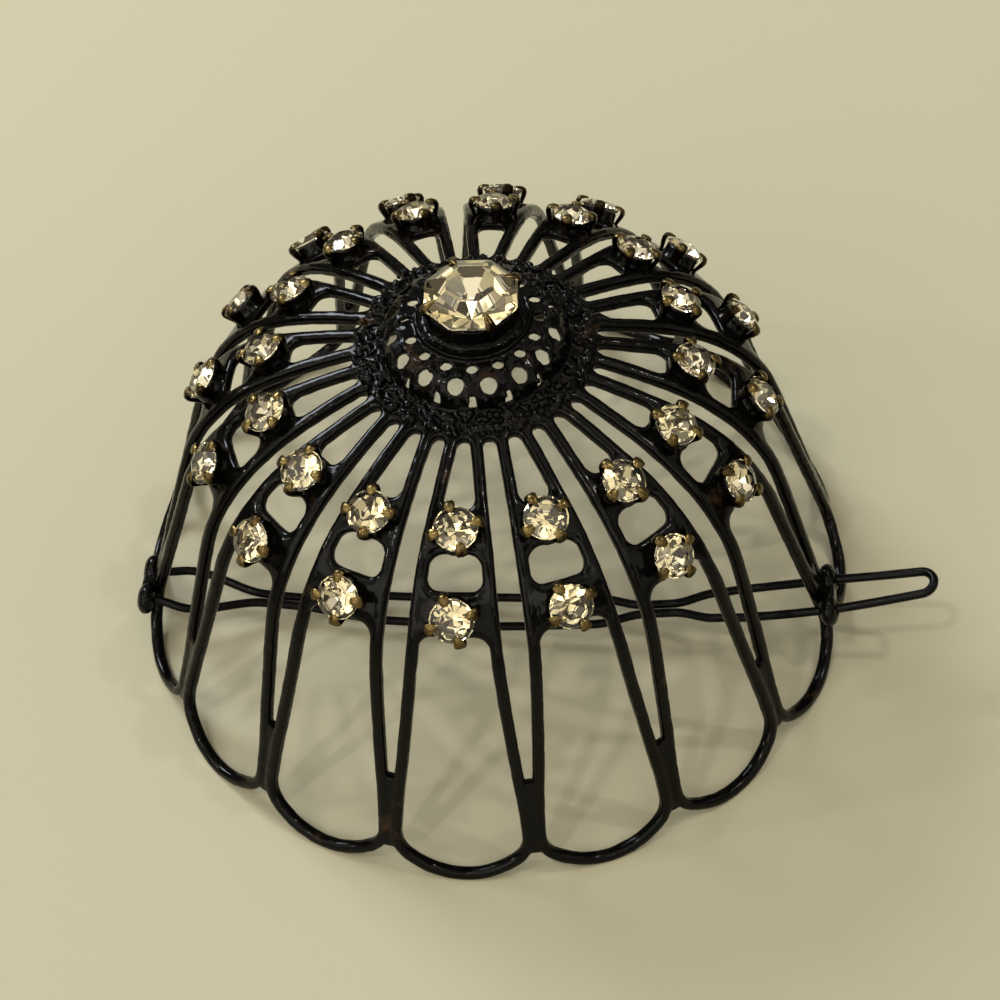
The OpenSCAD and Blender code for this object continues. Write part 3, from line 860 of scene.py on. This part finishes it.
def cutStone(name, look):  # points at every corner of the cut, and the hull over them
    crown, pavilion, girdle = look["crown"], look["pavilion"], look["girdle"]
    table, kite = look["table"], look["kite"]
    r = look["stone"] / 2
    corner = acos(look["flat"]) if look["flat"] < 1 else pi / 16
    side = r * cos(corner)
    rise = (crown - girdle / 2) / (side - table * r * cos(pi / 8))
    fall = (pavilion - girdle / 2) / side
    points = [(0, 0, -pavilion)]
    for k in range(8):
        middle = k * pi / 4
        edge = middle + pi / 8
        for a in (middle - corner, middle + corner):
            points += [(r * cos(a), r * sin(a), z) for z in (girdle / 2, -girdle / 2)]
        points.append((table * r * cos(edge), table * r * sin(edge), crown))
        high = girdle / 2 + (side - kite * r * cos(pi / 8)) * rise
        points.append((kite * r * cos(edge), kite * r * sin(edge), high))
        for share, bulge in pavilionRows:
            inner = share * r
            depth = pavilion - inner * cos(pi / 8) * fall
            points.append((inner * cos(edge), inner * sin(edge), -depth * bulge))
    stone = meshFrom(name, points, [])
    pick(stone)
    bpy.ops.object.mode_set(mode="EDIT")
    bpy.ops.mesh.select_all(action="SELECT")
    bpy.ops.mesh.convex_hull()
    bpy.ops.mesh.select_all(action="SELECT")
    bpy.ops.mesh.dissolve_limited(angle_limit=radians(0.6))
    bpy.ops.mesh.normals_make_consistent(inside=False)
    bpy.ops.object.mode_set(mode="OBJECT")
    for material in stoneFinish:
        stone.data.materials.append(material)
    for face in stone.data.polygons:
        face.material_index = 1 if face.center.z < -girdle / 2 - 0.001 else 0
    print("  stone", name, len(stone.data.polygons), "facets")
    return stone


cup = makeCup()
smallProngs = makeProngs("prongs", setting, 0)
smallStone = cutStone("stone", setting)
rng = random.Random(setting["seed"])
for ringName, ringRadius in setting["rings"]:
    for k in range(dome["petals"]):
        place = onDome(petalTurn(k), ringRadius)
        lumpy = copyOf(cup)
        lumpy.data.transform(Matrix.Rotation(rng.uniform(0, 2 * pi), 4, "Z"))
        ripple(lumpy, setting["ripples"])
        finished(lumpy, "%s_cup_%d" % (ringName, k + 1), "cage", blackEnamel, place)
        turn = Matrix.Rotation(setting["prongTurn"] + rng.uniform(-1, 1) * setting["unevenness"], 4, "Z")
        claws = "%s_prongs_%d" % (ringName, k + 1)
        finished(copyOf(smallProngs), claws, "cage", wornBrass, place @ turn)
        turn = Matrix.Rotation(rng.uniform(0, pi / 4), 4, "Z")
        tiltX, tiltY = (radians(rng.uniform(-setting["tilt"], setting["tilt"])) for axis in "XY")
        tilt = Matrix.Rotation(tiltX, 4, "X") @ Matrix.Rotation(tiltY, 4, "Y")
        seat = place @ Matrix.Translation((0, 0, setting["lift"])) @ tilt @ turn
        cut = finished(copyOf(smallStone), "%s_cut_%d" % (ringName, k + 1), "cage", None, seat)
        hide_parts("%s_stone_%d" % (ringName, k + 1))
for one in (cup, smallProngs, smallStone):
    bpy.data.objects.remove(one)
print("settings made")

# The centre stone and its four prongs
centre = {
    "stone": 9.45,
    "crown": 1.5,
    "pavilion": 4.0,
    "girdle": 0.26,
    "table": 0.52,
    "kite": 0.84,
    "flat": 0.938,
    "girdleHeight": 43.6,
    "turn": radians(4),
    "prongPath": [(4.3, -1.9), (4.6, -0.8), (4.95, -0.15), (4.92, 0.25), (4.62, 0.5), (4.2, 0.68),
                  (3.8, 0.82), (3.5, 0.95)],
    "prongWidths": [1.0, 1.05, 1.1, 1.05, 0.92, 0.72, 0.46, 0.2],
    "prongThicks": [0.45, 0.5, 0.5, 0.46, 0.4, 0.32, 0.22, 0.12],
    "prongTurn": radians(28),
}
girdlePlace = Matrix.Translation((0, 0, centre["girdleHeight"]))
mainStone = cutStone("mainStone", centre)
turn = Matrix.Rotation(centre["turn"], 4, "Z")
finished(mainStone, "centre_cut", "cage", None, girdlePlace @ turn)
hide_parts("centre_stone")
mainProngs = makeProngs("mainProngs", centre, centre["prongTurn"])
finished(mainProngs, "centre_prongs", "cage", wornBrass, girdlePlace)
print("centre stone made")

# The double eyes that hold the pin: two beads side by side, leaned as the bowed pin runs through them
eyes = {
    "left": (-37.182, 4.2),  # x and z
    "right": (36.237, 7.0),
    "y": -7.232,
    "gap": 3.8,
    "bore": 1.6,
    "boreLength": 6,
    "radius": 1.75,
    "thick": 2.1,
    "waist": 2.0,
    "waistThick": 0.7,  # share of the beads' thickness
    "beadCast": (0.1, 3, 60000),
    "cast": (0.09, 3, 16000),
    "ripples": [(1.1, 0.12)],
}
pin = {
    "diameter": 0.95,
    "pinch": 1.15,
    "reach": 10.76,  # past the right eye's plate
    "tipRadius": 1.4,
    "centre": (-6.515, 164.045),
    "arcRadius": 162.76,
    "lean": radians(2.184),
    "halfTurn": radians(13.0445),
    "eyePlate": 1.5,
    "steps": 120,
    "tipSteps": 14,
    "straightSteps": 9,
    "ripples": [(3.0, 0.03)],
    "legs": [  # share of the way from eye to eye, how far the legs stand open
        (-0.01, 1), (0.012, 1), (0.06, 1.45), (0.175, 0), (0.215, 0), (0.36, 0.8), (0.52, 1),
        (0.66, 0.85), (0.735, 0.01), (0.775, 0.01), (0.84, 0.8), (0.885, 0.96), (0.93, 1), (1.01, 1),
    ],
}


def makeBores():
    bores = []
    for leg in (-1, 1):
        place = Matrix.Translation((0, leg * eyes["gap"] / 2, 0))
        bores.append(rod(eyes["bore"] / 2, eyes["boreLength"], place, 32))
    return join("bores", bores)


def makeEye(name, x, z, lean, behind):
    parts = []
    for leg in (-1, 1):
        bpy.ops.mesh.primitive_uv_sphere_add(segments=40, ring_count=24, radius=1)
        bead = bpy.context.object
        size = Matrix.Diagonal((eyes["radius"], eyes["radius"], eyes["thick"] / 2, 1))
        bead.data.transform(Matrix.Translation((0, leg * eyes["gap"] / 2, 0)) @ size)
        parts.append(bead)
    bpy.ops.mesh.primitive_cube_add(size=1)
    waist = bpy.context.object
    waist.data.transform(Matrix.Diagonal((eyes["waist"], eyes["gap"], eyes["thick"] * eyes["waistThick"], 1)))
    beads = join(name, parts + [waist])
    fuse(beads, *eyes["beadCast"])
    cutAway(beads, makeBores())
    fuse(beads, *eyes["cast"])
    ripple(beads, eyes["ripples"])
    smoothShade(beads)
    place = Matrix.Translation((x, eyes["y"], z)) @ Matrix.Rotation(pi / 2 - lean, 4, "Y")
    finished(beads, name, "cage", blackEnamel, place)
    through = makeBores()  # the bores run on through the bars behind
    through.data.transform(Matrix.Scale(mm, 4) @ place)
    cutAway(bpy.data.objects[behind], through)


makeEye("eye_left", *eyes["left"], pin["lean"] - pin["halfTurn"], "bar_pair_13")
makeEye("eye_right", *eyes["right"], pin["lean"] + pin["halfTurn"], "bar_pair_4")
print("eyes made")


# The pin: one bowed wire, two waved legs and a round turn
def legOpen(u):
    for (u0, a), (u1, b) in zip(pin["legs"], pin["legs"][1:]):
        if u <= u1:
            blend = (1 - cos(pi * (u - u0) / (u1 - u0))) / 2
            return a + (b - a) * blend
    return 1.0


def onPin(turn, y):  # a place on the arc that the pin lies on
    a = pin["lean"] + turn
    x, z = pin["centre"]
    return (x + pin["arcRadius"] * sin(a), eyes["y"] + y, z - pin["arcRadius"] * cos(a))


def makePin():
    first, last = pin["legs"][0][0], pin["legs"][-1][0]
    half = []
    for i in range(pin["steps"] + 1):
        u = first + (last - first) * i / pin["steps"]
        spread = (pin["pinch"] + (eyes["gap"] - pin["pinch"]) * legOpen(u)) / 2
        half.append(((2 * u - 1) * pin["halfTurn"], spread))
    r = pin["tipRadius"]
    tip = pin["halfTurn"] + (pin["eyePlate"] / 2 + pin["reach"] - r - pin["diameter"] / 2) / pin["arcRadius"]
    a0, y0 = half[-1]
    for i in range(1, pin["straightSteps"]):  # from the right eye to the round turn
        f = i / pin["straightSteps"]
        half.append((a0 + (tip - a0) * f, y0 + (r - y0) * f))
    n = pin["tipSteps"]
    turn = [(tip + r * sin(pi * i / n) / pin["arcRadius"], r * cos(pi * i / n)) for i in range(n + 1)]
    line = half + turn + [(a, -y) for a, y in reversed(half)]
    bpy.ops.curve.primitive_nurbs_path_add()
    obj = bpy.context.object
    curve = obj.data
    curve.splines.clear()
    spline = curve.splines.new("POLY")
    spline.points.add(len(line) - 1)
    for point, (a, y) in zip(spline.points, line):
        point.co = (*onPin(a, y), 1)
    curve.bevel_depth = pin["diameter"] / 2
    curve.bevel_resolution = 4
    curve.use_fill_caps = True
    pick(obj)
    bpy.ops.object.convert(target="MESH")
    obj = bpy.context.object
    outwards(obj)
    ripple(obj, pin["ripples"])
    smoothShade(obj, creases["pin"])
    wire = finished(obj, "pin_wire", "pin", pinEnamel)
    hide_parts("pin")


makePin()
print("pin made")

for name in ("bar_pair_1", "rosette"):
    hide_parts("cage")

# Floor, lights and camera
stage = {
    "floor": (0.47, 0.437, 0.308),
    "floorSize": 8,
    "floorGrain": 6,
    "floorShades": (0.97, 1.03),
    "floorRoughness": 0.85,
    "floorGloss": 0.2,
    "sky": (1.0, 0.945, 0.82),
    "skyPatches": [  # how common a patch is, counted up to 1, and its brightness
        (0.0, 0.03), (0.26, 0.12), (0.32, 1.0), (0.62, 1.2), (0.7, 2.4), (0.95, 3.0),
    ],
    "patchSize": 4.0,
    "patchPlace": (3.3, 1.1, 2.2),
    "horizon": 0.6,
    "horizonHeight": (0.05, 0.35),
    "skyLow": 0.12,
    "skyHigh": 0.92,
    "brightSide": (0.09, -0.61, 0.79),
    "brightReach": (0.1, 0.95),
    "lightsAim": (0, 0, 0.02),
    "lights": [  # place, energy, size, colour
        ((-0.42, 0.4, 0.5), 3.6, 0.25, (0.86, 0.93, 1.0)),
        ((-0.25, -0.25, 0.85), 0.85, 0.022, (1.0, 0.96, 0.88)),
        ((0.35, 0.1, 0.8), 0.75, 0.022, (1.0, 0.96, 0.88)),
        ((-0.7, -0.1, 0.45), 0.6, 0.022, (1.0, 0.96, 0.88)),
    ],
    "cameraPlace": (0.02001, -0.12778, 0.17781),
    "cameraTurn": (radians(37.832), radians(2.877), radians(4.686)),
    "sensor": 36,
    "lens": 70.68,
    "clipStart": 0.01,
}


def makeFloor():
    bpy.ops.mesh.primitive_plane_add(size=stage["floorSize"])
    floor = bpy.context.object
    floor.name = "floor"
    material, nodes, links, shader = newMaterial("floorPaper")
    coords = nodes.new("ShaderNodeTexCoord")
    noise = nodes.new("ShaderNodeTexNoise")
    noise.inputs["Scale"].default_value = stage["floorGrain"]
    links.new(coords.outputs["Object"], noise.inputs["Vector"])
    ramp = nodes.new("ShaderNodeValToRGB")
    for mark, shade in zip(ramp.color_ramp.elements, stage["floorShades"]):
        mark.color = (*[c * shade for c in stage["floor"]], 1)
    links.new(noise.outputs["Fac"], ramp.inputs["Fac"])
    links.new(ramp.outputs["Color"], shader.inputs["Base Color"])
    shader.inputs["Roughness"].default_value = stage["floorRoughness"]
    shader.inputs["Specular IOR Level"].default_value = stage["floorGloss"]
    floor.data.materials.append(material)


def makeLights():
    for place, energy, size, colour in stage["lights"]:
        bpy.ops.object.light_add(type="AREA", location=place)
        lamp = bpy.context.object
        lamp.data.energy = energy
        lamp.data.size = size
        lamp.data.color = colour
        lamp.rotation_euler = (Vector(stage["lightsAim"]) - Vector(place)).to_track_quat("-Z", "Y").to_euler()


def makeSky():  # a room's bright and dark patches, for the stones to catch
    world = bpy.data.worlds.new("studio")
    bpy.context.scene.world = world
    world.use_nodes = True
    nodes, links = world.node_tree.nodes, world.node_tree.links
    coords = nodes.new("ShaderNodeTexCoord")
    place = nodes.new("ShaderNodeMapping")
    place.inputs["Location"].default_value = stage["patchPlace"]
    links.new(coords.outputs["Generated"], place.inputs["Vector"])
    patches = nodes.new("ShaderNodeTexVoronoi")
    patches.inputs["Scale"].default_value = stage["patchSize"]
    links.new(place.outputs["Vector"], patches.inputs["Vector"])
    patchShare = nodes.new("ShaderNodeSeparateColor")
    links.new(patches.outputs["Color"], patchShare.inputs["Color"])
    ramp = nodes.new("ShaderNodeValToRGB")
    ramp.color_ramp.interpolation = "EASE"
    marks = ramp.color_ramp.elements
    for i, (share, bright) in enumerate(stage["skyPatches"]):
        mark = marks[i] if i < 2 else marks.new(share)
        mark.position = share
        mark.color = (*[c * bright for c in stage["sky"]], 1)
    links.new(patchShare.outputs["Red"], ramp.inputs["Fac"])
    upward = nodes.new("ShaderNodeSeparateXYZ")
    links.new(coords.outputs["Generated"], upward.inputs["Vector"])
    height = nodes.new("ShaderNodeMapRange")
    height.inputs["From Min"].default_value, height.inputs["From Max"].default_value = stage["horizonHeight"]
    links.new(upward.outputs["Z"], height.inputs["Value"])
    plain = nodes.new("ShaderNodeMix")  # no patches near the horizon
    plain.data_type = "RGBA"
    plain.inputs[6].default_value = (*[c * stage["horizon"] for c in stage["sky"]], 1)
    links.new(height.outputs["Result"], plain.inputs[0])
    links.new(ramp.outputs["Color"], plain.inputs[7])
    side = nodes.new("ShaderNodeVectorMath")  # brighter on one side of the room
    side.operation = "DOT_PRODUCT"
    side.inputs[1].default_value = stage["brightSide"]
    links.new(coords.outputs["Generated"], side.inputs[0])
    strength = nodes.new("ShaderNodeMapRange")
    strength.interpolation_type = "SMOOTHSTEP"
    darkest, brightest = stage["brightReach"]
    strength.inputs["From Min"].default_value = darkest
    strength.inputs["From Max"].default_value = brightest
    strength.inputs["To Min"].default_value = stage["skyLow"]
    strength.inputs["To Max"].default_value = stage["skyHigh"]
    links.new(side.outputs["Value"], strength.inputs["Value"])
    sky = nodes["Background"]
    links.new(plain.outputs[2], sky.inputs["Color"])
    links.new(strength.outputs["Result"], sky.inputs["Strength"])


def makeCamera():
    bpy.ops.object.camera_add(location=stage["cameraPlace"], rotation=stage["cameraTurn"])
    camera = bpy.context.object
    camera.data.sensor_width = stage["sensor"]
    camera.data.lens = stage["lens"]
    camera.data.clip_start = stage["clipStart"]
    bpy.context.scene.camera = camera


makeFloor()
makeLights()
makeSky()
makeCamera()
bpy.context.scene.view_settings.view_transform = "Standard"
print("stage set")
